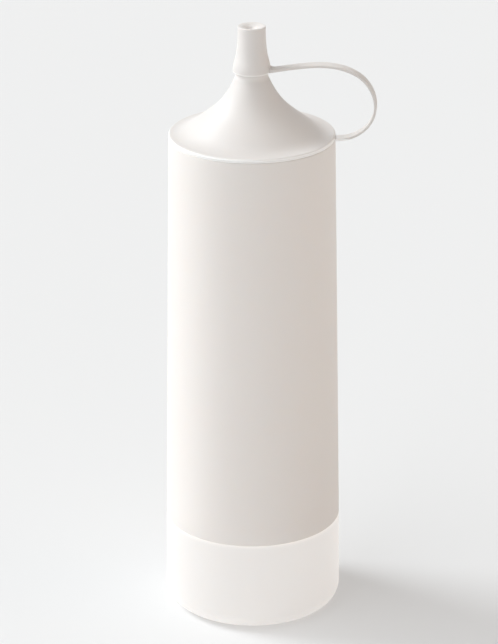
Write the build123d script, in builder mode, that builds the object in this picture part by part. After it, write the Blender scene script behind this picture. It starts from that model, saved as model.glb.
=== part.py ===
from build123d import *
from math import radians, tan
import os

# Condiment squeeze bottle: a frosted flask in a soft grip sleeve, a funnel lid that screws
# on its neck, and a nozzle cap held by a flexible strap.
# Millimetres, +Z up, origin at the centre of the underside. The strap lies in the XZ plane,
# on the +X side.

# Flask
foot_diameter = 65.4
base_height = 35.0
base_draft = 0.4
base_round = 6.2
base_edge_round = 0.3
flask_wall = 1.5
floor_thickness = 2.0
standing_ring_width = 5.0
push_up = 1.2
push_up_slope_width = 1.5
push_up_round = 0.5
step_round = 0.7
shoulder_rise = 1.6
shoulder_round = 2.0
neck_height = 12.5
neck_wall = 1.6
neck_root_round = 0.7
neck_lip_round = 0.4

# Grip sleeve
sleeve_height = 148.25
sleeve_draft = 0.9
sleeve_wall = 1.6
sleeve_edge_round = 0.3
sleeve_foot_round = 0.2
sleeve_fit = 0.05

# Thread between neck and lid
thread_lead = 4.0
thread_turns = 1.25
thread_depth = 1.05
thread_root_width = 1.8
thread_crest_width = 0.8
thread_clearance = 0.25
thread_sink = 0.4
thread_start = 4.6
lid_thread_start_angle = 180.0

# Nozzle cap: a bell with a dished top that falls to a pit, and a plug pin inside
cap_height = 16.8
cap_foot_diameter = 13.7
cap_bell_height = 2.8
cap_bell_diameter = 13.1
cap_neck_height = 5.6
cap_neck_diameter = 11.7
cap_waist_height = 9.8
cap_waist_diameter = 10.5
cap_top_diameter = 10.0
cap_wall = 1.1
cap_foot_round = 0.15
cap_lip_width = 0.7
cap_lip_round = 0.25
dish_depth = 1.0
pit_diameter = 2.4
pit_depth = 1.4
pit_floor_diameter = 0.6
pit_edge_round = 0.6
cap_ceiling = 1.2
cap_fit = 0.35
pin_fit = 0.2
pin_length = 3.6
pin_round = 0.5

# Lid
flange_gap = 0.6
rim_side = 0.15
rim_round = 0.75
rim_slope = 3.0
rim_edge_round = 0.12
seat_drop = 0.2
skirt_gap = 0.45
skirt_wall = 1.5
skirt_clearance = 2.0
rib_clearance = 1.2
rib_width = 0.9
rib_height = 1.1
lid_wall = 1.8
funnel_height = 23.95
tip_gap = 0.4
tip_round = 0.5
orifice_diameter = 3.2
orifice_length = 3.8

# Shares of the way out to the rim, and up to the nozzle, that the funnel's curve passes
funnel_shares = [
    (0.92, 0.01),
    (0.8, 0.054),
    (0.64, 0.168),
    (0.48, 0.296),
    (0.24, 0.532),
    (0.09, 0.772),
]

# Shares of the funnel's length, from rim to tip, where its inside is measured off the outside
inside_shares = [0.18, 0.3, 0.42, 0.54, 0.66, 0.78]

# Gasket
gasket_thickness = 1.5
gasket_clearance = 0.25

# Tether ring, which lies in a groove between the lid's flange and the sleeve
ring_groove_depth = 0.7
ring_clearance = 0.05
ring_bore_clearance = 0.15
ring_recess = 0.1
ring_root_gap = 0.35
ring_root_length = 0.85

# Strap
strap_width = 4.6
strap_thickness = 0.9
strap_edge_round = 0.2
strap_reach = 13.1
strap_cap_rise = 0.75
strap_cap_overhang = 1.1
strap_root_sink = 0.5

# Where the strap's curve passes: outwards in shares of its reach, or inwards in shares of
# the way back to the cap, and upwards in shares of the climb to the cap
strap_shares = [(0.76, 0.18), (0.985, 0.41), (0.735, 0.855), (-0.07, 1.075), (-0.49, 1.075)]

# Heights that the pieces share
sleeve_top = base_height + sleeve_height
flange_bottom = sleeve_top + flange_gap
seat_height = flange_bottom - seat_drop
neck_top = seat_height - gasket_thickness
shoulder_height = neck_top - neck_height
skirt_bottom = shoulder_height + skirt_clearance
groove_bottom = sleeve_top - ring_clearance
cap_bottom = flange_bottom + funnel_height
cap_top = cap_bottom + cap_height
pit_edge = cap_top - dish_depth
pit_floor = pit_edge - pit_depth
cap_inside_top = pit_floor - cap_ceiling
nozzle_tip = cap_inside_top - tip_gap


def base_radius(height):
    """Radius of the flask's clear base."""
    return foot_diameter / 2 - height * tan(radians(base_draft))


def sleeve_radius(height):
    """Outer radius of the grip sleeve, which is flush with the base at its lower edge."""
    return base_radius(base_height) - (height - base_height) * tan(radians(sleeve_draft))


def flask_radius(height):
    """Outer radius of the flask inside the sleeve."""
    return sleeve_radius(height) - sleeve_wall - sleeve_fit


# Radii that the pieces share
rim_radius = sleeve_radius(sleeve_top)
skirt_radius = rim_radius - sleeve_wall - skirt_gap
skirt_bore = skirt_radius - skirt_wall
neck_radius = skirt_bore - thread_clearance - thread_depth
neck_bore = neck_radius - neck_wall
rib_radius = neck_bore - rib_clearance
groove_radius = skirt_radius - ring_groove_depth
nozzle_inset = cap_wall + cap_fit
funnel_radius = cap_foot_diameter / 2 - nozzle_inset
orifice_radius = orifice_diameter / 2


def thread_ridge(root_radius, outward, start_angle):
    """A helical ridge of trapezium section, sunk a little into the wall that carries it."""
    start = (0, 0, shoulder_height + thread_start)
    with BuildPart() as ridge:
        with BuildLine() as path:
            Helix(thread_lead, thread_lead * thread_turns, root_radius, center=start)
        with BuildSketch(Plane(origin=path.line @ 0, x_dir=(1, 0, 0), z_dir=path.line % 0)):
            with BuildLine():
                Polyline(
                    (-outward * thread_sink, -thread_root_width / 2),
                    (outward * thread_depth, -thread_crest_width / 2),
                    (outward * thread_depth, thread_crest_width / 2),
                    (-outward * thread_sink, thread_root_width / 2),
                    close=True,
                )
            make_face()
        sweep(path=path.line, is_frenet=True)
    return ridge.part.rotate(Axis.Z, start_angle)


os.makedirs("parts", exist_ok=True)
neck_thread = thread_ridge(neck_radius, 1, 0)
lid_thread = thread_ridge(skirt_bore, -1, lid_thread_start_angle)

# Flask: a wall of even thickness, stepped in above the clear base to carry the sleeve
with BuildPart() as bottle:
    with BuildSketch(Plane.XZ):
        with BuildLine():
            inner_step = base_height - flask_wall
            inner_shoulder = shoulder_height - flask_wall
            floor_top = push_up + floor_thickness
            push_up_radius = foot_diameter / 2 - base_round - standing_ring_width
            outline = [
                ((0, push_up), 0),
                ((push_up_radius - push_up_slope_width, push_up), push_up_round),
                ((push_up_radius, 0), push_up_round),
                ((base_radius(0), 0), base_round),
                ((base_radius(base_height), base_height), base_edge_round),
                ((flask_radius(base_height), base_height), 0),
                ((flask_radius(shoulder_height), shoulder_height), shoulder_round),
                ((neck_radius, shoulder_height + shoulder_rise), neck_root_round),
                ((neck_radius, neck_top), neck_lip_round),
                ((neck_bore, neck_top), neck_lip_round),
                ((neck_bore, inner_shoulder + shoulder_rise), neck_root_round),
                ((flask_radius(inner_shoulder) - flask_wall, inner_shoulder), neck_root_round),
                ((flask_radius(inner_step) - flask_wall, inner_step), step_round),
                ((base_radius(inner_step) - flask_wall, inner_step), step_round),
                ((base_radius(floor_top) - flask_wall, floor_top), base_round - flask_wall),
                ((0, floor_top), 0),
            ]
            FilletPolyline(*[p for p, _ in outline], radius=[r for _, r in outline], close=True)
        make_face()
    revolve(axis=Axis.Z)
    add(neck_thread)
bottle.part.label = "bottle"
export_step(bottle.part, "parts/bottle.step")

# Grip sleeve: a tapered tube that stands on the flask's ledge
with BuildPart() as grip_sleeve:
    with BuildSketch(Plane.XZ):
        with BuildLine():
            FilletPolyline(
                (sleeve_radius(base_height) - sleeve_wall, base_height),
                (sleeve_radius(base_height), base_height),
                (rim_radius, sleeve_top),
                (rim_radius - sleeve_wall, sleeve_top),
                radius=[0, sleeve_foot_round, sleeve_edge_round, 0],
                close=True,
            )
        make_face()
    revolve(axis=Axis.Z)
grip_sleeve.part.label = "grip_sleeve"
export_step(grip_sleeve.part, "parts/grip_sleeve.step")

# Lid: a flat rim, funnel and nozzle in one shell, with a threaded skirt, a seat for the
# gasket and a groove for the tether ring
with BuildPart() as lid:
    with BuildSketch(Plane.XZ):
        with BuildLine():
            rim_centre = (rim_radius - rim_round, flange_bottom + rim_side)
            rim_arc = CenterArc(rim_centre, rim_round, 0, 90 - rim_slope)
            rim_end = rim_arc @ 1
            bends = [
                (
                    funnel_radius + out * (rim_end.X - funnel_radius),
                    rim_end.Y + up * (cap_bottom - rim_end.Y),
                )
                for out, up in funnel_shares
            ]
            outside = Spline(
                rim_end,
                *bends,
                (funnel_radius, cap_bottom),
                (cap_neck_diameter / 2 - nozzle_inset, cap_bottom + cap_neck_height),
                (cap_top_diameter / 2 - nozzle_inset, nozzle_tip),
                tangents=[rim_arc % 1, (0, 1)],
            )
            inside = [
                outside @ share + (outside % share).rotate(Axis.Z, 90) * lid_wall
                for share in inside_shares
            ]
            # Outwards from the first of these, the inside follows its slope to the rib
            lean = outside % inside_shares[0]
            inside_radius = rib_radius - rib_width
            inside_foot = inside[0].Y + (inside_radius - inside[0].X) * lean.Y / lean.X
            Polyline(
                outside @ 1,
                (orifice_radius, nozzle_tip),
                (orifice_radius, nozzle_tip - orifice_length),
            )
            Spline(
                (orifice_radius, nozzle_tip - orifice_length),
                *reversed(inside),
                (inside_radius, inside_foot),
            )
            Polyline(
                (inside_radius, inside_foot),
                (inside_radius, seat_height - rib_height),
                (rib_radius, seat_height - rib_height),
                (rib_radius, seat_height),
                (skirt_bore, seat_height),
                (skirt_bore, skirt_bottom),
                (skirt_radius, skirt_bottom),
                (skirt_radius, groove_bottom),
                (groove_radius, groove_bottom),
                (groove_radius, flange_bottom),
                (rim_radius, flange_bottom),
                rim_arc @ 0,
            )
        make_face()
    revolve(axis=Axis.Z)
    add(lid_thread)
    rings = lid.edges().filter_by(GeomType.CIRCLE)
    fillet(rings.group_by(Axis.Z)[-1].sort_by(SortBy.RADIUS)[-1], tip_round)
    rings = lid.edges().filter_by(GeomType.CIRCLE)
    flange_rings = rings.filter_by_position(Axis.Z, flange_bottom, flange_bottom)
    fillet(flange_rings.sort_by(SortBy.RADIUS)[-1], rim_edge_round)
lid.part.label = "lid"
export_step(lid.part, "parts/lid.step")

# Gasket: a flat washer between the lid's seat and the neck's lip
with BuildPart() as lid_gasket:
    with BuildSketch(Plane.XY.offset(neck_top)):
        Circle(skirt_bore - gasket_clearance)
        Circle(rib_radius + gasket_clearance, mode=Mode.SUBTRACT)
    extrude(amount=gasket_thickness)
lid_gasket.part.label = "lid_gasket"
export_step(lid_gasket.part, "parts/lid_gasket.step")

# Strap: one flat section swept round tangent arcs, from the tether ring's root to the cap
ring_root_start = rim_radius + ring_root_gap
strap_start = Vector(ring_root_start + ring_root_length, 0, sleeve_top + flange_gap / 2)
strap_end = Vector(cap_foot_diameter / 2 + strap_cap_overhang, 0, cap_bottom + strap_cap_rise)
climb = strap_end.Z - strap_start.Z
way_in = strap_start.X - strap_end.X
stops = [
    strap_start + Vector(out * (strap_reach if out > 0 else way_in), 0, up * climb)
    for out, up in strap_shares
]
with BuildLine() as strap_route:
    place, heading = strap_start, Vector(1, 0, 0)
    for stop in [*stops, strap_end]:
        bend = TangentArc(place, stop, tangent=heading)
        place, heading = stop, bend % 1
route = strap_route.wire()
ring_end = Plane(origin=route @ 0, x_dir=(0, 1, 0), z_dir=route % 0)
cap_end = Plane(origin=route @ 1, x_dir=(0, 1, 0), z_dir=route % 1)
with BuildPart() as cap_strap:
    with BuildSketch(ring_end):
        RectangleRounded(strap_width, strap_thickness, strap_edge_round)
    sweep(path=route)
cap_strap.part.label = "cap_strap"
export_step(cap_strap.part, "parts/cap_strap.step")

# Tether ring: a thin washer with a tab that passes the rim and thickens into the strap's root
ring_height = flange_gap - 2 * ring_clearance
with BuildPart() as tether_ring:
    with BuildSketch(Plane.XY.offset(sleeve_top + ring_clearance)):
        Circle(rim_radius - ring_recess)
        tab_width = strap_width - 2 * strap_edge_round
        Rectangle(ring_root_start, tab_width, align=(Align.MIN, Align.CENTER))
        Circle(groove_radius + ring_bore_clearance, mode=Mode.SUBTRACT)
    extrude(amount=ring_height)
    with BuildSketch(ring_end):
        RectangleRounded(strap_width, strap_thickness, strap_edge_round)
    extrude(amount=-ring_root_length)
tether_ring.part.label = "tether_ring"
export_step(tether_ring.part, "parts/tether_ring.step")

# Nozzle cap: bell, dished top, plug pin, and the stub that the strap grows from
with BuildPart() as nozzle_cap:
    with BuildSketch(Plane.XZ):
        with BuildLine():
            bell = [
                (cap_foot_diameter / 2, cap_bottom),
                (cap_bell_diameter / 2, cap_bottom + cap_bell_height),
                (cap_neck_diameter / 2, cap_bottom + cap_neck_height),
                (cap_waist_diameter / 2, cap_bottom + cap_waist_height),
            ]
            pin_radius = orifice_radius - pin_fit
            pin_end = cap_inside_top - pin_length
            Spline(*bell, (cap_top_diameter / 2, cap_top), tangents=[(0, 1), (0, 1)])
            Polyline(
                (cap_top_diameter / 2, cap_top),
                (cap_top_diameter / 2 - cap_lip_width, cap_top),
                (pit_diameter / 2, pit_edge),
                (pit_floor_diameter / 2, pit_floor),
                (0, pit_floor),
                (0, pin_end),
                (pin_radius, pin_end),
                (pin_radius, cap_inside_top),
                (cap_top_diameter / 2 - cap_wall, cap_inside_top),
            )
            Spline(
                (cap_top_diameter / 2 - cap_wall, cap_inside_top),
                *[(radius - cap_wall, height) for radius, height in reversed(bell)],
                tangents=[(0, -1), (0, -1)],
            )
            Line((cap_foot_diameter / 2 - cap_wall, cap_bottom), bell[0])
        make_face()
    revolve(axis=Axis.Z)
    rings = nozzle_cap.edges().filter_by(GeomType.CIRCLE)
    fillet(rings.group_by(Axis.Z)[-1], cap_lip_round)
    rings = nozzle_cap.edges().filter_by(GeomType.CIRCLE)
    fillet(rings.group_by(Axis.Z)[0].sort_by(SortBy.RADIUS)[-1], cap_foot_round)
    rings = nozzle_cap.edges().filter_by(GeomType.CIRCLE)
    fillet(rings.filter_by_position(Axis.Z, pin_end, pin_end), pin_round)
    rings = nozzle_cap.edges().filter_by(GeomType.CIRCLE)
    fillet(rings.filter_by_position(Axis.Z, pit_edge, pit_edge), pit_edge_round)
    with BuildSketch(cap_end):
        RectangleRounded(strap_width, strap_thickness, strap_edge_round)
    extrude(amount=strap_cap_overhang + strap_root_sink)
nozzle_cap.part.label = "nozzle_cap"
export_step(nozzle_cap.part, "parts/nozzle_cap.step")
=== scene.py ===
# %% [markdown]
# # A squeeze bottle for sauces
# The bottle is a frosted flask in an opaque grip sleeve, closed by a trumpet-shaped lid that
# screws on, with a small cap over the nozzle and a thin strap that keeps the cap. The packed
# model holds all of it at its real size. Here each piece that shows is made again as a fine
# mesh in the same place, and given its finish. The frame is loaded first, because every later
# place is worked out from it.

# %% Load the frame
from math import atan2, cos, pi, radians, sin, tan

import bpy
import numpy as np
from mathutils import Matrix, Vector


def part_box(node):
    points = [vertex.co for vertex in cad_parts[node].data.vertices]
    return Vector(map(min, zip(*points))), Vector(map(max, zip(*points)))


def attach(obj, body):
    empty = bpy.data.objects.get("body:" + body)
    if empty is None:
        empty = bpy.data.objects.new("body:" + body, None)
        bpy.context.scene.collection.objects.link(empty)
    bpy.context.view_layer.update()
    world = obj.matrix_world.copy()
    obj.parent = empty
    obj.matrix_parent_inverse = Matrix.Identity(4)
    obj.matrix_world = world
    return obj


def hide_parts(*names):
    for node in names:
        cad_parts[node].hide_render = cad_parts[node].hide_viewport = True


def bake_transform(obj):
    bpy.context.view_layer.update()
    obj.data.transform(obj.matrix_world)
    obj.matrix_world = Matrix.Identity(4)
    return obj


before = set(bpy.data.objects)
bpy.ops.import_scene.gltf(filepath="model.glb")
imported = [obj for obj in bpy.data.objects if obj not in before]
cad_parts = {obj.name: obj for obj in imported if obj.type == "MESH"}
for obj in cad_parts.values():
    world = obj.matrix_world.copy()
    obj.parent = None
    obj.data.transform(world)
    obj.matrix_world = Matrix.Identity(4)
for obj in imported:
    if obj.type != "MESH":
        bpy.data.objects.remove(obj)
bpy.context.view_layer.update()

MM = 0.001


def in_mm(*lengths):
    """Lengths in millimetres, rounded for printing."""
    return [round(length / MM, 2) for length in lengths]


print("nodes", sorted(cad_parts))

# %% [markdown]
# ## Levels and widths
# Nearly every piece of this object is round about one upright axis, so a piece needs only
# radii and heights. Reading them from the frame's boxes keeps each mesh on what carries it,
# and only small details, such as how round an edge is, are written as values of their own.

# %% Read the levels from the frame
flask_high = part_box("bottle")[1]
sleeve_low, sleeve_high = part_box("grip_sleeve")
lid_low, lid_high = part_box("lid")
gasket_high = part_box("lid_gasket")[1]
ring_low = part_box("tether_ring")[0]
cap_low, cap_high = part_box("nozzle_cap")

base_top = sleeve_low.z
sleeve_top = sleeve_high.z
neck_top = flask_high.z
seat = gasket_high.z
skirt_bottom = lid_low.z
nozzle_tip = lid_high.z
cap_bottom = cap_low.z
cap_top = cap_high.z
print("base top, sleeve top, cap bottom in mm:", in_mm(base_top, sleeve_top, cap_bottom))

# %% Work out the radii that pieces share
base_draft = radians(0.4)
sleeve_draft = radians(0.9)
base_round = 6.2 * MM
flask_wall = 1.5 * MM
sleeve_wall = 1.6 * MM
sleeve_fit = 0.05 * MM
skirt_gap = 0.45 * MM
skirt_wall = 1.5 * MM
thread_clearance = 0.25 * MM
thread_depth = 1.05 * MM
neck_wall = 1.6 * MM


def base_radius(height):
    """Radius of the clear base at a height."""
    return flask_high.y - (height - base_round) * tan(base_draft)


def sleeve_radius(height):
    """Outer radius of the grip sleeve at a height."""
    return sleeve_high.y - (height - base_top) * tan(sleeve_draft)


def flask_radius(height):
    """Outer radius of the flask inside the sleeve."""
    return sleeve_radius(height) - sleeve_wall - sleeve_fit


rim_radius = lid_high.y
skirt_radius = sleeve_radius(sleeve_top) - sleeve_wall - skirt_gap
skirt_bore = skirt_radius - skirt_wall
neck_radius = skirt_bore - thread_clearance - thread_depth
neck_bore = neck_radius - neck_wall
print("rim, skirt and neck radii in mm:", in_mm(rim_radius, skirt_radius, neck_radius))

# %% [markdown]
# ## Turning an outline
# A lathe shape is an outline of radii and heights, carried round the axis. Blender's Screw
# modifier can do it, but building the rings directly closes the poles with clean triangle fans
# and leaves no doubled points. Corners are rounded in the outline itself, so that the edges
# catch light the way moulded plastic does.

# %% Round the corners of an outline
def rounded(corners, steps=6):
    """A closed outline's points, from (radius, height) or (radius, height, rounding) corners."""
    points = []
    for i, corner in enumerate(corners):
        here = Vector(corner[:2])
        if len(corner) == 2:
            points.append(here)
            continue
        back = (Vector(corners[i - 1][:2]) - here).normalized()
        ahead = (Vector(corners[(i + 1) % len(corners)][:2]) - here).normalized()
        half = back.angle(ahead) / 2
        # The arc's centre lies on the line that halves the corner
        centre = here + (back + ahead).normalized() * corner[2] / sin(half)
        run = corner[2] / tan(half)
        start = here + back * run - centre
        stop = here + ahead * run - centre
        spokes = [start.slerp(stop, step / steps) for step in range(steps + 1)]
        points += [centre + corner[2] * spoke for spoke in spokes]
    return points


square = rounded([(0, 0, 0.1), (1, 0, 0.1), (1, 1, 0.1), (0, 1, 0.1)])
print("a square with four rounded corners has", len(square), "points")

# %% Carry an outline round the axis
pole_radius = 1e-7


def make_piece(name, points, faces, sharp_from=radians(38)):
    """A smooth-shaded mesh object whose hard corners stay sharp."""
    mesh = bpy.data.meshes.new(name)
    mesh.from_pydata([tuple(p) for p in points], [], faces)
    mesh.validate()
    mesh.shade_smooth()
    mesh.set_sharp_from_angle(angle=sharp_from)
    piece = bpy.data.objects.new(name, mesh)
    bpy.context.scene.collection.objects.link(piece)
    print(name, "has", len(mesh.vertices), "points and", len(mesh.polygons), "faces")
    return piece


def turned(name, outline, segments=256):
    """The outline carried round the Z axis. A point on the axis is one pole."""
    points = []
    rings = []
    for radius, height in outline:
        count = 1 if radius < pole_radius else segments
        rings.append([len(points) + i for i in range(count)])
        turns = [2 * pi * i / segments for i in range(count)]
        points += [(radius * cos(a), radius * sin(a), height) for a in turns]
    faces = []
    for ring, following in zip(rings, rings[1:] + rings[:1]):
        for i in range(segments):
            j = (i + 1) % segments
            if len(ring) == len(following) == 1:
                continue
            if len(ring) == 1:
                faces.append((ring[0], following[j], following[i]))
            elif len(following) == 1:
                faces.append((ring[i], ring[j], following[0]))
            else:
                faces.append((ring[i], ring[j], following[j], following[i]))
    return make_piece(name, points, faces)


# %% [markdown]
# ## The flask
# The flask is one blow-moulded bottle. Its lowest 35 mm show as the frosted base, and above
# that it steps in by the sleeve's thickness, so that sleeve and base are flush. Its wall is
# real, because light that enters the frosted base has to come out. A Solidify modifier could
# give a single skin its wall, but the floor and the neck are thicker than the side. So the
# outline runs up the outside, over the neck's lip and down the inside, and both ends lie on
# the axis.

# %% Turn the flask
push_up = 1.2 * MM
push_up_slope = 1.5 * MM
standing_ring = 5.0 * MM
floor_thickness = 2.0 * MM
neck_length = 12.5 * MM
shoulder_rise = 1.6 * MM
foot_edge = 0.5 * MM
step_edge = 0.3 * MM
shoulder_round = 2.0 * MM
wall_bend = 0.7 * MM
lip_edge = 0.4 * MM
shoulder = neck_top - neck_length
inner_step = base_top - flask_wall
inner_shoulder = shoulder - flask_wall
floor_top = push_up + floor_thickness
push_up_radius = base_radius(0) - base_round - standing_ring
flask_outline = rounded([
    (0, push_up),
    (push_up_radius - push_up_slope, push_up, foot_edge),
    (push_up_radius, 0, foot_edge),
    (base_radius(0), 0, base_round),
    (base_radius(base_top), base_top, step_edge),
    (flask_radius(base_top), base_top),
    (flask_radius(shoulder), shoulder, shoulder_round),
    (neck_radius, shoulder + shoulder_rise, wall_bend),
    (neck_radius, neck_top, lip_edge),
    (neck_bore, neck_top, lip_edge),
    (neck_bore, inner_shoulder + shoulder_rise, wall_bend),
    (flask_radius(inner_shoulder) - flask_wall, inner_shoulder, wall_bend),
    (flask_radius(inner_step) - flask_wall, inner_step, wall_bend),
    (base_radius(inner_step) - flask_wall, inner_step, wall_bend),
    (base_radius(floor_top) - flask_wall, floor_top, base_round - flask_wall),
    (0, floor_top),
], steps=10)
flask = turned("flask", flask_outline)
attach(flask, "bottle")
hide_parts("bottle")

# %% [markdown]
# ## The screw thread
# Lid and neck each carry one ridge of the same thread, a small trapezium swept along a helix.
# Blender's Screw modifier could sweep it, but its two ends would be blunt. Made point by point,
# the ridge sinks into the wall at both ends, as a moulded thread does.

# %% Sweep a ridge along a helix
thread_lead = 4.0 * MM
thread_turns = 1.25
thread_rise = 4.6 * MM
thread_start = shoulder + thread_rise


def thread_ridge(name, radius, outward, start_angle, steps=160, run_out=0.12):
    """A helical ridge on a wall. Outward is 1 on a neck, and -1 inside a skirt."""
    half_root, half_crest, sink = 0.9 * MM, 0.4 * MM, 0.4 * MM
    section = [
        (-sink, -half_root),
        (thread_depth, -half_crest),
        (thread_depth, half_crest),
        (-sink, half_root),
    ]
    points = []
    for step in range(steps + 1):
        share = step / steps
        full = min(1, share / run_out, (1 - share) / run_out)
        angle = start_angle + 2 * pi * thread_turns * share
        height = thread_start + thread_lead * thread_turns * share
        for out, up in section:
            reach = radius + outward * (out if out < 0 else full * (out + sink) - sink)
            points.append((reach * cos(angle), reach * sin(angle), height + up))
    faces = [(3, 2, 1, 0), tuple(len(points) - 4 + i for i in range(4))]
    for step in range(steps):
        first = 4 * step
        for i in range(4):
            j = (i + 1) % 4
            faces.append((first + i, first + j, first + 4 + j, first + 4 + i))
    return make_piece(name, points, faces if outward > 0 else [face[::-1] for face in faces])


neck_thread = thread_ridge("neck_thread", neck_radius, 1, 0)
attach(neck_thread, "bottle")
lid_thread = thread_ridge("lid_thread", skirt_bore, -1, pi)
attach(lid_thread, "lid")

# %% [markdown]
# ## The grip sleeve
# The sleeve is the opaque grip over the flask. It is a plain tube with 0.9 degrees of taper,
# which a cone primitive could nearly give, but its two ends matter. Both are nearly sharp, so
# that the seams against the base and under the lid stay fine lines. Extra rings along its
# height keep the quads short enough to shade evenly.

# %% Turn the sleeve
sleeve_edge = 0.3 * MM
sleeve_foot = 0.2 * MM
sleeve_rings = 24
sleeve_height = sleeve_top - base_top
outside_heights = [base_top + sleeve_height * i / sleeve_rings for i in range(1, sleeve_rings)]
sleeve_outline = rounded([
    (sleeve_radius(base_top) - sleeve_wall, base_top),
    (sleeve_radius(base_top), base_top, sleeve_foot),
    *[(sleeve_radius(height), height) for height in outside_heights],
    (sleeve_radius(sleeve_top), sleeve_top, sleeve_edge),
    (sleeve_radius(sleeve_top) - sleeve_wall, sleeve_top),
])
sleeve = turned("sleeve", sleeve_outline)
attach(sleeve, "bottle")
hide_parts("grip_sleeve")

# %% [markdown]
# ## A smooth curve through a few points
# The lid's trumpet, the cap's bell and the strap's loop are all single flowing lines. Blender's
# own curves could draw them, but every handle would have to be placed by hand. A cubic spline
# whose bends match at every point gives that flow from a handful of places, and its two end
# directions make it leave the rim or the strap's root without a kink.

# %% Draw a smooth curve
def smooth_through(places, leave, arrive, steps=12):
    """Points of a cubic spline through the places, with even bending across each of them."""
    spots = np.array(places, float)
    gaps = np.linalg.norm(np.diff(spots, axis=0), axis=1)
    last = len(spots) - 1
    balance = np.zeros((last + 1, last + 1))
    pull = np.zeros_like(spots)
    balance[0, 0] = balance[last, last] = 1
    pull[0] = np.array(leave) / np.linalg.norm(leave)
    pull[last] = np.array(arrive) / np.linalg.norm(arrive)
    for i in range(1, last):
        before, after = gaps[i - 1], gaps[i]
        balance[i, i - 1:i + 2] = after, 2 * (before + after), before
        step_in, step_out = spots[i] - spots[i - 1], spots[i + 1] - spots[i]
        pull[i] = 3 * (after / before * step_in + before / after * step_out)
    slopes = np.linalg.solve(balance, pull)
    curve = []
    for i, gap in enumerate(gaps):
        for t in np.arange(steps) / steps:
            curve.append(
                (1 + 2 * t) * (1 - t) ** 2 * spots[i] + t * (1 - t) ** 2 * gap * slopes[i]
                + t * t * (3 - 2 * t) * spots[i + 1] + t * t * (t - 1) * gap * slopes[i + 1]
            )
    return [tuple(p) for p in (*curve, spots[last])]


arch = smooth_through([(0, 0), (1, 1), (2, 0)], (0, 1), (0, -1))
print("an arch through three places has", len(arch), "points")


# %% Find a place along a curve
def along(curve, share):
    """(place, heading) at a share of a curve's length."""
    spots = np.array(curve)
    walked = np.concatenate([[0], np.cumsum(np.linalg.norm(np.diff(spots, axis=0), axis=1))])
    reach = share * walked[-1]
    i = min(int(np.searchsorted(walked, reach, side="right")) - 1, len(spots) - 2)
    step = spots[i + 1] - spots[i]
    heading = step / np.linalg.norm(step)
    return spots[i] + heading * (reach - walked[i]), heading


print("halfway along the arch is", along(arch, 0.5)[0].round(2))

# %% [markdown]
# ## The nozzle cap
# The cap is a bell, drawn through five diameters, with a dished top. The dish falls ever more
# steeply to a small pit, where the mould was fed, and under it a pin plugs the nozzle. The
# outline starts in the pit, runs over the lip, down the bell and back up the inside to the
# pin's end. The bell's curves stop a few places short of the corners they lead to, which
# leaves room for the corners' own roundings.

# %% Turn the nozzle cap
cap_wall = 1.1 * MM
cap_ceiling = 1.2 * MM
cap_lip = 0.55 * MM
lip_inner_edge = 0.2 * MM
lip_outer_edge = 0.25 * MM
cap_edge = 0.15 * MM
cavity_round = 0.4 * MM
dish_depth = 2.4 * MM
pit_radius = 0.3 * MM
pit_edge = 0.15 * MM
# Radius, depth and rounding of the dish's bends, from the pit outwards
dish_bends = [
    (1.2 * MM, 1.5 * MM, 0.6 * MM),
    (2.2 * MM, 0.72 * MM, 1.0 * MM),
    (3.4 * MM, 0.2 * MM, 0.8 * MM),
]
orifice_radius = 1.6 * MM
pin_clearance = 0.2 * MM
pin_length = 3.6 * MM
pin_root = 0.2 * MM
pin_tip = 0.5 * MM
cap_inside_top = cap_top - dish_depth - cap_ceiling
pin_radius = orifice_radius - pin_clearance
pin_end = cap_inside_top - pin_length
cap_foot_radius = cap_high.y
# Radius and height of the bell, from its foot to its lip
cap_bell = [
    (cap_foot_radius, cap_bottom),
    (6.55 * MM, cap_bottom + 2.8 * MM),
    (5.85 * MM, cap_bottom + 5.6 * MM),
    (5.25 * MM, cap_bottom + 9.8 * MM),
    (5.0 * MM, cap_top),
]
bell_side = smooth_through(cap_bell, (0, 1), (0, 1))
bell_inside = [(radius - cap_wall, min(height, cap_inside_top)) for radius, height in cap_bell]
cavity_side = smooth_through(bell_inside, (0, 1), (0, 1))
cap_outline = rounded([
    (0, cap_top - dish_depth),
    (pit_radius, cap_top - dish_depth, pit_edge),
    *[(radius, cap_top - depth, bend) for radius, depth, bend in dish_bends],
    (cap_bell[-1][0] - cap_lip, cap_top, lip_inner_edge),
    (cap_bell[-1][0], cap_top, lip_outer_edge),
    *reversed(bell_side[4:-3]),
    (cap_foot_radius, cap_bottom, cap_edge),
    (cap_foot_radius - cap_wall, cap_bottom, cap_edge),
    *cavity_side[3:-3],
    (bell_inside[-1][0], cap_inside_top, cavity_round),
    (pin_radius, cap_inside_top, pin_root),
    (pin_radius, pin_end, pin_tip),
    (0, pin_end),
])
nozzle_cap = turned("bell_cap", cap_outline, segments=128)
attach(nozzle_cap, "cap")
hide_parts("nozzle_cap")

# %% [markdown]
# ## The lid
# Rim, trumpet and nozzle are one shell. Outside, a flat rim a few millimetres wide turns up
# into a slope that steepens into the nozzle, all one curve. Inside, the same curve lies a
# wall's thickness deeper. Below it come the rib that centres the gasket, the seat, the skirt
# that carries the thread, and the groove where the tether ring turns. These are all round too,
# so one outline draws the whole lid, and nothing has to be joined by a Boolean.

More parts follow.
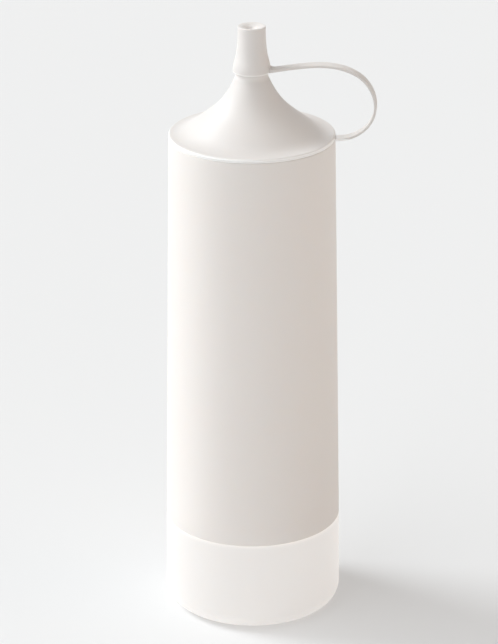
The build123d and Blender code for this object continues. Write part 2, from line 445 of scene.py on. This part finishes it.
# %% Draw the rim and the funnel
slot_height = 0.6 * MM
rim_side = 0.15 * MM
rim_round = 0.75 * MM
rim_underside = 0.12 * MM
rim_slope = radians(3)
lid_wall = 1.8 * MM
rib_gap = 1.2 * MM
rib_width = 0.9 * MM
rib_height = 1.1 * MM
groove_depth = 0.7 * MM
moulded_edge = 0.2 * MM
skirt_edge = 0.3 * MM
nozzle_gap = 0.35 * MM
nozzle_edge = 0.5 * MM
orifice_edge = 0.25 * MM
orifice_length = 3.8 * MM
flange_bottom = sleeve_top + slot_height
rib_radius = neck_bore - rib_gap
groove_radius = skirt_radius - groove_depth
nozzle_inset = cap_wall + nozzle_gap
nozzle_foot_radius = cap_bell[0][0] - nozzle_inset

# Shares of the way out to the rim, and up to the nozzle
funnel_shares = [
    (0.92, 0.01),
    (0.8, 0.054),
    (0.64, 0.168),
    (0.48, 0.296),
    (0.24, 0.532),
    (0.09, 0.772),
]
rim_centre = Vector((rim_radius - rim_round, flange_bottom + rim_side))
rim_steps = 12
rim_turns = [(pi / 2 - rim_slope) * i / rim_steps for i in range(rim_steps + 1)]
rim_arc = [tuple(rim_centre + rim_round * Vector((cos(a), sin(a)))) for a in rim_turns]
rim_end = Vector(rim_arc[-1])
funnel_width = rim_end.x - nozzle_foot_radius
funnel_height = cap_bottom - rim_end.y
bends = [
    (nozzle_foot_radius + out * funnel_width, rim_end.y + up * funnel_height)
    for out, up in funnel_shares
]
funnel = smooth_through(
    [
        rim_end,
        *bends,
        (nozzle_foot_radius, cap_bottom),
        (cap_bell[2][0] - nozzle_inset, cap_bell[2][1]),
        (cap_bell[4][0] - nozzle_inset, nozzle_tip),
    ],
    (-cos(rim_slope), sin(rim_slope)),
    (0, 1),
)
print("funnel width and height in mm", in_mm(funnel_width, funnel_height))

# %% Follow the funnel on the inside and turn the lid
inside_shares = [0.18, 0.3, 0.42, 0.54, 0.66, 0.78]
throat_heading = (0.2, -1)
inside = []
for share in inside_shares:
    place, heading = along(funnel, share)
    inside.append((place[0] - lid_wall * heading[1], place[1] + lid_wall * heading[0]))
lean = along(funnel, inside_shares[0])[1]
inside_radius = rib_radius - rib_width
inside_foot = inside[0][1] + (inside_radius - inside[0][0]) * lean[1] / lean[0]
funnel_inside = smooth_through(
    [
        (orifice_radius, nozzle_tip - orifice_length),
        *reversed(inside),
        (inside_radius, inside_foot),
    ],
    throat_heading,
    (-lean[0], -lean[1]),
)
lid_outline = rounded([
    (rim_radius, flange_bottom, rim_underside),
    *rim_arc,
    *funnel[1:-2],
    (funnel[-1][0], nozzle_tip, nozzle_edge),
    (orifice_radius, nozzle_tip, orifice_edge),
    *funnel_inside,
    (inside_radius, seat - rib_height, moulded_edge),
    (rib_radius, seat - rib_height, moulded_edge),
    (rib_radius, seat, moulded_edge),
    (skirt_bore, seat, moulded_edge),
    (skirt_bore, skirt_bottom, skirt_edge),
    (skirt_radius, skirt_bottom, skirt_edge),
    (skirt_radius, ring_low.z, moulded_edge),
    (groove_radius, ring_low.z, moulded_edge),
    (groove_radius, flange_bottom, moulded_edge),
])
lid = turned("trumpet_lid", lid_outline)
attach(lid, "lid")
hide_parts("lid")

# %% [markdown]
# ## The gasket
# A soft washer lies on the neck's lip, and the lid's seat presses on it. It hardly shows, but
# it is seen when the lid is off. A torus would be too round for it, so it is turned from four
# corners, with the small roundings of a moulded rubber part.

# %% Turn the gasket
gasket_clearance = 0.25 * MM
gasket_edge = 0.35 * MM
gasket_outline = rounded([
    (rib_radius + gasket_clearance, neck_top, gasket_edge),
    (skirt_bore - gasket_clearance, neck_top, gasket_edge),
    (skirt_bore - gasket_clearance, seat, gasket_edge),
    (rib_radius + gasket_clearance, seat, gasket_edge),
])
gasket = turned("gasket", gasket_outline)
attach(gasket, "gasket")
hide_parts("lid_gasket")

# %% [markdown]
# ## The tether ring
# The ring is half a millimetre thick and turns in the slot between the lid's flange and the
# sleeve. On one side a tab reaches out past the rim and carries the strap. A washer with one
# bump in its edge is quickest made from two lists of places, one inside and one outside, with
# a few extra places where the tab begins and ends.

# %% Build the tether ring
strap_width = 4.6 * MM
strap_thickness = 0.9 * MM
strap_edge = 0.2 * MM
ring_setback = 0.1 * MM
ring_clearance = 0.15 * MM
ring_play = 0.05 * MM
root_gap = 0.35 * MM
root_length = 0.85 * MM
ring_radius = rim_radius - ring_setback
ring_bore = groove_radius + ring_clearance
ring_bottom = sleeve_top + ring_play
ring_top = flange_bottom - ring_play
root_start = rim_radius + root_gap
tab_half = strap_width / 2 - strap_edge
tab_reach = root_start + root_length / 2
outer_edge = [(tab_reach, -tab_half), (tab_reach, 0), (tab_reach, tab_half)]
tab_turn = atan2(tab_half, ring_radius)
ring_steps = 180
for step in range(ring_steps + 1):
    turn = tab_turn + (2 * pi - 2 * tab_turn) * step / ring_steps
    outer_edge.append((ring_radius * cos(turn), ring_radius * sin(turn)))
inner_edge = []
for x, y in outer_edge:
    reach = Vector((x, y)).length
    inner_edge.append((ring_bore * x / reach, ring_bore * y / reach))
ring_corners = [
    (inner_edge, ring_bottom),
    (outer_edge, ring_bottom),
    (outer_edge, ring_top),
    (inner_edge, ring_top),
]
ring_points = [(x, y, z) for places, z in ring_corners for x, y in places]
count = len(outer_edge)
ring_faces = []
for corner, following in ((1, 2), (2, 3), (3, 0), (0, 1)):
    here, there = corner * count, following * count
    for i in range(count):
        j = (i + 1) % count
        ring_faces.append((here + i, here + j, there + j, there + i))
tether_ring = make_piece("swivel_ring", ring_points, ring_faces)
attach(tether_ring, "tether")
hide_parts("tether_ring")
print("ring's radii and levels in mm", in_mm(ring_bore, ring_radius, ring_bottom, ring_top))

# %% [markdown]
# ## The strap
# The strap is a flat band that leaves the rim level, swings out and up, and comes back down
# onto the cap's foot. A curve with a bevel profile could make it. Here the section is carried
# along the route in code, which keeps its width level, turns its thickness with the route and
# lets its upper side swell into a small fillet near the cap. The strap holds ring and cap
# together.

# %% Find the strap's route
strap_reach = 13.1 * MM
strap_fall = radians(10.1)
stub_reach = 1.1 * MM
stub_rise = 0.75 * MM
stub = 1.6 * MM
stub_steps = 8
strap_start = (root_start + root_length, (sleeve_top + flange_bottom) / 2)
strap_end = (cap_foot_radius + stub_reach, cap_bottom + stub_rise)

# Outwards in shares of the reach, or inwards in shares of the way to the cap, and upwards in
# shares of the climb to the cap
strap_shares = [(0.76, 0.18), (0.985, 0.41), (0.735, 0.855), (-0.07, 1.075), (-0.49, 1.075)]
stops = [
    (
        strap_start[0] + out * (strap_reach if out > 0 else strap_start[0] - strap_end[0]),
        strap_start[1] + up * (strap_end[1] - strap_start[1]),
    )
    for out, up in strap_shares
]
arriving = Vector((-cos(strap_fall), -sin(strap_fall)))
route = smooth_through([strap_start, *stops, strap_end], (1, 0), arriving)
route.insert(0, (root_start, strap_start[1]))
for step in range(1, stub_steps + 1):
    route.append(tuple(Vector(strap_end) + arriving * stub * step / stub_steps))
print("strap route places", len(route), "furthest out in mm", in_mm(max(x for x, z in route)))

# %% Carry the band along the route
fillet_reach = 1.5 * MM
fillet_height = 0.75 * MM
cap_wall_radius = 6.8 * MM
band_section = rounded([
    (-strap_width / 2, -strap_thickness / 2, strap_edge),
    (strap_width / 2, -strap_thickness / 2, strap_edge),
    (strap_width / 2, strap_thickness / 2, strap_edge),
    (-strap_width / 2, strap_thickness / 2, strap_edge),
], steps=4)
band_points = []
for i, place in enumerate(route):
    ahead = Vector(route[min(i + 1, len(route) - 1)]) - Vector(route[max(i - 1, 0)])
    # On the way back to the cap the band has turned over, so its upper side is the inner one
    normal = Vector((-ahead.y, ahead.x)).normalized()
    near = 0
    if i > len(route) / 2:
        near = max(0, 1 - max(0, place[0] - cap_wall_radius) / fillet_reach)
    for across, up in band_section:
        swell = -near ** 2 * fillet_height if up < 0 else 0
        spot = Vector(place) + normal * (up + swell)
        band_points.append((spot.x, across, spot.y))
size = len(band_section)
band_faces = [tuple(range(size)), tuple(len(band_points) - 1 - i for i in range(size))]
for step in range(len(route) - 1):
    first = step * size
    for i in range(size):
        j = (i + 1) % size
        band_faces.append((first + i, first + size + i, first + size + j, first + j))
strap = make_piece("strap_band", band_points, band_faces)
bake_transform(strap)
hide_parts("cap_strap")

# %% [markdown]
# ## Shared effects for the finishes
# All the finishes are moulded plastic or rubber. What tells such surfaces from a flat colour
# is small: a fine matt grain left by the mould, a gloss that changes a little from place to
# place, and a tone that is not quite even where the wall is thicker or the pigment denser.
# Grain and tone are node groups, made once and placed in each material with other values.

# %% Build the grain group
def new_group(name, inputs, outputs):
    """An empty shader node group with the named sockets."""
    group = bpy.data.node_groups.new(name, "ShaderNodeTree")
    for label, kind, value in inputs:
        socket = group.interface.new_socket(label, in_out="INPUT", socket_type=kind)
        socket.default_value = value
    for label, kind in outputs:
        group.interface.new_socket(label, in_out="OUTPUT", socket_type=kind)
    return group, group.nodes.new("NodeGroupInput"), group.nodes.new("NodeGroupOutput")


def add(tree, kind, **settings):
    """A new node with its settings."""
    node = tree.nodes.new(kind)
    for key, value in settings.items():
        setattr(node, key, value)
    return node


grain, taken, given = new_group(
    "moulded_grain",
    [
        ("Fineness", "NodeSocketFloat", 4000.0),
        ("Gloss Patches", "NodeSocketFloat", 60.0),
        ("Roughness", "NodeSocketFloat", 0.5),
        ("Roughness Change", "NodeSocketFloat", 0.06),
    ],
    [("Height", "NodeSocketFloat"), ("Roughness", "NodeSocketFloat")],
)
place = add(grain, "ShaderNodeTexCoord")
fine = add(grain, "ShaderNodeTexNoise")
patches = add(grain, "ShaderNodeTexNoise")
centred = add(grain, "ShaderNodeMath", operation="SUBTRACT")
change = add(grain, "ShaderNodeMath", operation="MULTIPLY")
total = add(grain, "ShaderNodeMath", operation="ADD")
fine.inputs["Detail"].default_value = 3
patches.inputs["Detail"].default_value = 2
# Noise lies about a half, so with that taken off, the gloss changes both ways
centred.inputs[1].default_value = 0.5
grain.links.new(place.outputs["Object"], fine.inputs["Vector"])
grain.links.new(place.outputs["Object"], patches.inputs["Vector"])
grain.links.new(taken.outputs["Fineness"], fine.inputs["Scale"])
grain.links.new(taken.outputs["Gloss Patches"], patches.inputs["Scale"])
grain.links.new(patches.outputs["Fac"], centred.inputs[0])
grain.links.new(centred.outputs[0], change.inputs[0])
grain.links.new(taken.outputs["Roughness Change"], change.inputs[1])
grain.links.new(change.outputs[0], total.inputs[0])
grain.links.new(taken.outputs["Roughness"], total.inputs[1])
grain.links.new(fine.outputs["Fac"], given.inputs["Height"])
grain.links.new(total.outputs[0], given.inputs["Roughness"])
print("group", grain.name, "with", len(grain.nodes), "nodes")

# %% Build the tone group
tone, taken, given = new_group(
    "uneven_tone",
    [
        ("Colour", "NodeSocketColor", (0.8, 0.8, 0.8, 1)),
        ("Deeper Colour", "NodeSocketColor", (0.7, 0.7, 0.7, 1)),
        ("Patches", "NodeSocketFloat", 12.0),
        ("Amount", "NodeSocketFloat", 0.5),
    ],
    [("Colour", "NodeSocketColor")],
)
place = add(tone, "ShaderNodeTexCoord")
cloud = add(tone, "ShaderNodeTexNoise")
share = add(tone, "ShaderNodeMath", operation="MULTIPLY")
mix = add(tone, "ShaderNodeMix", data_type="RGBA")
cloud.inputs["Detail"].default_value = 3
tone.links.new(place.outputs["Object"], cloud.inputs["Vector"])
tone.links.new(taken.outputs["Patches"], cloud.inputs["Scale"])
tone.links.new(cloud.outputs["Fac"], share.inputs[0])
tone.links.new(taken.outputs["Amount"], share.inputs[1])
tone.links.new(share.outputs[0], mix.inputs["Factor"])
tone.links.new(taken.outputs["Colour"], mix.inputs["A"])
tone.links.new(taken.outputs["Deeper Colour"], mix.inputs["B"])
tone.links.new(mix.outputs["Result"], given.inputs["Colour"])
print("group", tone.name, "with", len(tone.nodes), "nodes")

# %% [markdown]
# ## Painted edge light
# Thin edges of soft, pale plastic look lighter than the wall behind them, because light gets
# out of them on two sides. Here that light is painted into the base colour. A mask of height
# marks such an edge on a turned piece: it is 1 at the edge's own height and fades to 0 over a
# small reach. The same painted light also lifts the shade in a seam and under the cap. A Bevel
# node could find the edges by itself, but it needs many samples, and a height is just as exact
# on a turned piece.

# %% Build the painted edge light group
edge, taken, given = new_group(
    "painted_edge_light",
    [
        ("Colour", "NodeSocketColor", (0.8, 0.8, 0.8, 1)),
        ("Edge Colour", "NodeSocketColor", (1, 1, 1, 1)),
        ("Edge Height", "NodeSocketFloat", 0.0),
        ("Reach", "NodeSocketFloat", 0.001),
    ],
    [("Colour", "NodeSocketColor")],
)
place = add(edge, "ShaderNodeTexCoord")
upright = add(edge, "ShaderNodeSeparateXYZ")
away = add(edge, "ShaderNodeMath", operation="SUBTRACT")
distance = add(edge, "ShaderNodeMath", operation="ABSOLUTE")
in_reach = add(edge, "ShaderNodeMath", operation="DIVIDE")
fade = add(edge, "ShaderNodeMapRange", interpolation_type="SMOOTHSTEP")
fade.inputs["To Min"].default_value = 1
fade.inputs["To Max"].default_value = 0
mix = add(edge, "ShaderNodeMix", data_type="RGBA")
edge.links.new(place.outputs["Object"], upright.inputs[0])
edge.links.new(upright.outputs["Z"], away.inputs[0])
edge.links.new(taken.outputs["Edge Height"], away.inputs[1])
edge.links.new(away.outputs[0], distance.inputs[0])
edge.links.new(distance.outputs[0], in_reach.inputs[0])
edge.links.new(taken.outputs["Reach"], in_reach.inputs[1])
edge.links.new(in_reach.outputs[0], fade.inputs["Value"])
edge.links.new(fade.outputs["Result"], mix.inputs["Factor"])
edge.links.new(taken.outputs["Colour"], mix.inputs["A"])
edge.links.new(taken.outputs["Edge Colour"], mix.inputs["B"])
edge.links.new(mix.outputs["Result"], given.inputs["Colour"])
print("group", edge.name, "with", len(edge.nodes), "nodes")

# %% [markdown]
# ## The finishes
# Each finish is one Principled shader fed by the grain and tone groups, and by the painted edge
# light group where a thin edge shows or a shade is lifted. Light goes a little way into this
# kind of plastic, which softens the edge of every shadow, so each has some subsurface
# scattering: full in the frosted flask, about a quarter in the soft sleeve and the gasket, and
# less in the denser lid, cap and strap. The frosted wall also carries light round from its lit
# side to its far side, further than scattering of a few millimetres can, so an even painted
# glow, an emission of its own, stands for that light. The values that are the same all over the
# surface are set on the shader itself.

# %% Make a moulded finish
def moulded_finish(name, colour, deeper, roughness, fineness, grain_depth, glow, glow_depth):
    """A matt moulded surface. Glow is the share of light that scatters under it."""
    material = bpy.data.materials.new(name)
    material.use_nodes = True
    tree = material.node_tree
    shader = tree.nodes["Principled BSDF"]
    surface = add(tree, "ShaderNodeGroup", node_tree=grain)
    hue = add(tree, "ShaderNodeGroup", node_tree=tone)
    bump = add(tree, "ShaderNodeBump")
    surface.inputs["Fineness"].default_value = fineness
    surface.inputs["Roughness"].default_value = roughness
    hue.inputs["Colour"].default_value = (*colour, 1)
    hue.inputs["Deeper Colour"].default_value = (*deeper, 1)
    bump.inputs["Strength"].default_value = 0.35
    bump.inputs["Distance"].default_value = grain_depth
    shader.inputs["IOR"].default_value = 1.5
    shader.inputs["Subsurface Weight"].default_value = glow
    shader.inputs["Subsurface Scale"].default_value = glow_depth
    shader.inputs["Subsurface Radius"].default_value = (1.0, 0.8, 0.65)
    tree.links.new(hue.outputs["Colour"], shader.inputs["Base Color"])
    tree.links.new(surface.outputs["Roughness"], shader.inputs["Roughness"])
    tree.links.new(surface.outputs["Height"], bump.inputs["Height"])
    tree.links.new(bump.outputs["Normal"], shader.inputs["Normal"])
    return material


def paint_edge_light(material, height, reach, colour):
    """Paints light onto an edge at a height, between the material's tone and its base colour."""
    tree = material.node_tree
    shader = tree.nodes["Principled BSDF"]
    edge_light = add(tree, "ShaderNodeGroup", node_tree=edge)
    edge_light.inputs["Edge Height"].default_value = height
    edge_light.inputs["Reach"].default_value = reach
    edge_light.inputs["Edge Colour"].default_value = (*colour, 1)
    tree.links.new(shader.inputs["Base Color"].links[0].from_socket, edge_light.inputs["Colour"])
    tree.links.new(edge_light.outputs["Colour"], shader.inputs["Base Color"])


def dress(material, *pieces):
    """Gives the pieces one material."""
    for piece in pieces:
        piece.data.materials.clear()
        piece.data.materials.append(material)
        print(piece.name, "wears", material.name)


# %% Dress the flask and the sleeve
frosted = moulded_finish(
    "frosted_wall",
    colour=(0.437, 0.424, 0.412),
    deeper=(0.427, 0.411, 0.396),
    roughness=0.48,
    fineness=3000,
    grain_depth=0.03 * MM,
    glow=1.0,
    glow_depth=2.0 * MM,
)
# Painted light: an even glow, though the wall is no lamp, stands for light carried round through
# the frosted wall
frosted_shader = frosted.node_tree.nodes["Principled BSDF"]
frosted_shader.inputs["Emission Color"].default_value = (1.0, 0.965, 0.935, 1)
frosted_shader.inputs["Emission Strength"].default_value = 0.45
# Painted highlight along the base's top edge, just under the sleeve
paint_edge_light(frosted, height=base_top, reach=1.8 * MM, colour=(0.505, 0.487, 0.47))
dress(frosted, flask, neck_thread)
soft_touch = moulded_finish(
    "soft_touch",
    colour=(0.791, 0.749, 0.717),
    deeper=(0.76, 0.715, 0.678),
    roughness=0.58,
    fineness=4500,
    grain_depth=0.02 * MM,
    glow=0.25,
    glow_depth=1.2 * MM,
)
dress(soft_touch, sleeve)

# %% Dress the lid
lid_plastic = moulded_finish(
    "lid_plastic",
    colour=(0.708, 0.673, 0.649),
    deeper=(0.68, 0.641, 0.61),
    roughness=0.5,
    fineness=4500,
    grain_depth=0.02 * MM,
    glow=0.15,
    glow_depth=1.2 * MM,
)
# Painted highlight along the rim's lower edge, for light that comes out of the thin flange
rim_light_height = flange_bottom + 0.25 * MM
paint_edge_light(lid_plastic, height=rim_light_height, reach=0.7 * MM, colour=(1.0, 0.98, 0.96))
# Painted light: the funnel is painted paler just under the cap, which lifts the cap's shadow on
# it
cap_shadow_lift_height = cap_bottom - 1.0 * MM
paint_edge_light(lid_plastic, height=cap_shadow_lift_height, reach=2.0 * MM, colour=(0.8, 0.77, 0.745))
dress(lid_plastic, lid, lid_thread)

# %% Dress the cap, the strap and the gasket
cap_plastic = moulded_finish(
    "cap_plastic",
    colour=(0.734, 0.7, 0.675),
    deeper=(0.705, 0.665, 0.641),
    roughness=0.5,
    fineness=5000,
    grain_depth=0.015 * MM,
    glow=0.12,
    glow_depth=1.0 * MM,
)
# Painted highlight along the cap's foot edge
paint_edge_light(cap_plastic, height=cap_bottom, reach=0.7 * MM, colour=(0.97, 0.95, 0.93))
dress(cap_plastic, nozzle_cap)
strap_plastic = moulded_finish(
    "strap_plastic",
    colour=(0.68, 0.646, 0.618),
    deeper=(0.652, 0.614, 0.585),
    roughness=0.5,
    fineness=5000,
    grain_depth=0.015 * MM,
    glow=0.12,
    glow_depth=1.0 * MM,
)
# Painted light on the ring where it sits in the slot, which lifts the shade of the seam, and of
# the strap's root with it
slot_middle = (sleeve_top + flange_bottom) / 2
paint_edge_light(strap_plastic, height=slot_middle, reach=0.6 * MM, colour=(1.0, 0.98, 0.96))
dress(strap_plastic, strap, tether_ring)
seal_rubber = moulded_finish(
    "seal_rubber",
    colour=(0.78, 0.78, 0.76),
    deeper=(0.72, 0.72, 0.7),
    roughness=0.65,
    fineness=3500,
    grain_depth=0.02 * MM,
    glow=0.3,
    glow_depth=1.0 * MM,
)
dress(seal_rubber, gasket)

# %% [markdown]
# ## The floor
# The bottle stands on a plain pale floor that fills the whole picture. Lit by the lamps alone,
# its shadows would be deeper than a bright studio shows them. So for the camera, and for what
# glossy and clear surfaces mirror, the floor is mixed with an even grey of its own. A Light
# Path node keeps that grey out of the light that the floor throws back on the bottle.

# %% Tell rays that are seen or mirrored
def seen_or_mirrored(tree):
    """A socket that is 1 for camera, glossy and transmission rays, and 0 for all others."""
    path = add(tree, "ShaderNodeLightPath")
    seen = add(tree, "ShaderNodeMath", operation="MAXIMUM")
    mirrored = add(tree, "ShaderNodeMath", operation="MAXIMUM")
    tree.links.new(path.outputs["Is Camera Ray"], seen.inputs[0])
    tree.links.new(path.outputs["Is Glossy Ray"], seen.inputs[1])
    tree.links.new(seen.outputs[0], mirrored.inputs[0])
    tree.links.new(path.outputs["Is Transmission Ray"], mirrored.inputs[1])
    return mirrored.outputs[0]


# %% Lay the floor
floor_half = 4.0
grey_share = 0.34
floor_mesh = bpy.data.meshes.new("floor")
floor_corners = [
    (-floor_half, -floor_half, 0),
    (floor_half, -floor_half, 0),
    (floor_half, floor_half, 0),
    (-floor_half, floor_half, 0),
]
floor_mesh.from_pydata(floor_corners, [], [(0, 1, 2, 3)])
floor = bpy.data.objects.new("floor", floor_mesh)
bpy.context.scene.collection.objects.link(floor)
floor_paint = bpy.data.materials.new("pale_floor")
floor_paint.use_nodes = True
floor_shader = floor_paint.node_tree.nodes["Principled BSDF"]
floor_shader.inputs["Base Color"].default_value = (0.88, 0.88, 0.88, 1)
floor_shader.inputs["Roughness"].default_value = 0.7
floor_shader.inputs["Specular IOR Level"].default_value = 0.2
floor_tree = floor_paint.node_tree
even_grey = add(floor_tree, "ShaderNodeEmission")
even_grey.inputs["Color"].default_value = (0.655, 0.65, 0.645, 1)
even_share = add(floor_tree, "ShaderNodeMath", operation="MULTIPLY")
even_share.inputs[1].default_value = grey_share
evened = add(floor_tree, "ShaderNodeMixShader")
floor_tree.links.new(seen_or_mirrored(floor_tree), even_share.inputs[0])
floor_tree.links.new(even_share.outputs[0], evened.inputs["Fac"])
floor_tree.links.new(floor_shader.outputs["BSDF"], evened.inputs[1])
floor_tree.links.new(even_grey.outputs["Emission"], evened.inputs[2])
floor_tree.links.new(evened.outputs[0], floor_tree.nodes["Material Output"].inputs["Surface"])
dress(floor_paint, floor)

# %% [markdown]
# ## The light
# The strongest light comes from the left and a little from behind. It leaves the left side
# brightest, and lays the shadow on the floor to the right. A wider light from the front left
# and one from above open the front of the lid, a warm one from the right lifts the far side,
# and the sky fills the rest. Sun lamps are used because they light the whole floor evenly, and
# their angle sets how soft each shadow is.

# %% Light the sky
sky_colour = (1.0, 0.97, 0.95, 1)
sky_strength = 0.33
backdrop_colour = (0.9, 0.9, 0.905, 1)
world = bpy.data.worlds.new("studio")
bpy.context.scene.world = world
world.use_nodes = True
studio = world.node_tree
sky = studio.nodes["Background"]
sky.inputs["Color"].default_value = sky_colour
sky.inputs["Strength"].default_value = sky_strength
backdrop = add(studio, "ShaderNodeBackground")
backdrop.inputs["Color"].default_value = backdrop_colour
choose = add(studio, "ShaderNodeMixShader")
studio.links.new(seen_or_mirrored(studio), choose.inputs["Fac"])
studio.links.new(sky.outputs[0], choose.inputs[1])
studio.links.new(backdrop.outputs[0], choose.inputs[2])
studio.links.new(choose.outputs[0], studio.nodes["World Output"].inputs["Surface"])
print("sky", sky_colour[:3], "at strength", sky_strength)


# %% Hang the lamps
def soft_lamp(name, comes_from, energy, spread, colour):
    """A sun lamp of a wide angle, which lights the whole floor evenly and softly."""
    lamp = bpy.data.lights.new(name, "SUN")
    lamp.energy = energy
    lamp.angle = radians(spread)
    lamp.color = colour
    holder = bpy.data.objects.new(name, lamp)
    bpy.context.scene.collection.objects.link(holder)
    holder.rotation_mode = "QUATERNION"
    holder.rotation_quaternion = Vector(comes_from).to_track_quat("Z", "Y")
    print(name, "lamp", energy, "W per square metre over", spread, "degrees")


soft_lamp("key", (-1.0, 0.3, 0.85), 2.15, 25, (0.92, 0.97, 1.0))
soft_lamp("front_left", (-0.8, -0.6, 0.6), 1.08, 70, (0.94, 0.98, 1.0))
soft_lamp("top", (-0.25, -0.1, 1.0), 0.55, 50, (1.0, 1.0, 1.0))
soft_lamp("warm_fill", (1.0, -0.05, 0.12), 0.74, 60, (1.0, 0.8, 0.62))

# %% [markdown]
# ## The camera
# The photograph is taken from slightly above with a long lens. Its pitch, distance and focal
# length were found together from the outline of the bottle, because a taper can come from the
# object or from perspective. The strap points a little towards the camera, so the camera
# stands a few degrees round from the front.

# %% Place the camera
photo_long_side = 644
focal_pixels = 3206.6
camera_distance = 1.1818
camera_pitch = radians(22.13)
camera_turn = radians(5.4)
camera_roll = radians(-0.145)
look_height = 0.11105
bottle_offset_pixels = 3.4
camera = bpy.data.cameras.new("camera")
camera.sensor_width = 36
camera.lens = focal_pixels / photo_long_side * camera.sensor_width
camera.shift_x = -bottle_offset_pixels / photo_long_side
camera.clip_start = 0.05
camera_object = bpy.data.objects.new("camera", camera)
bpy.context.scene.collection.objects.link(camera_object)
level = cos(camera_pitch)
back = Vector((sin(camera_turn) * level, -cos(camera_turn) * level, sin(camera_pitch)))
camera_object.rotation_mode = "QUATERNION"
camera_object.location = Vector((0, 0, look_height)) + back * camera_distance
roll = Matrix.Rotation(camera_roll, 4, back).to_quaternion()
camera_object.rotation_quaternion = roll @ (-back).to_track_quat("-Z", "Y")
bpy.context.scene.camera = camera_object
bpy.context.scene.view_settings.view_transform = "Standard"
print("lens in mm", round(camera.lens, 1))
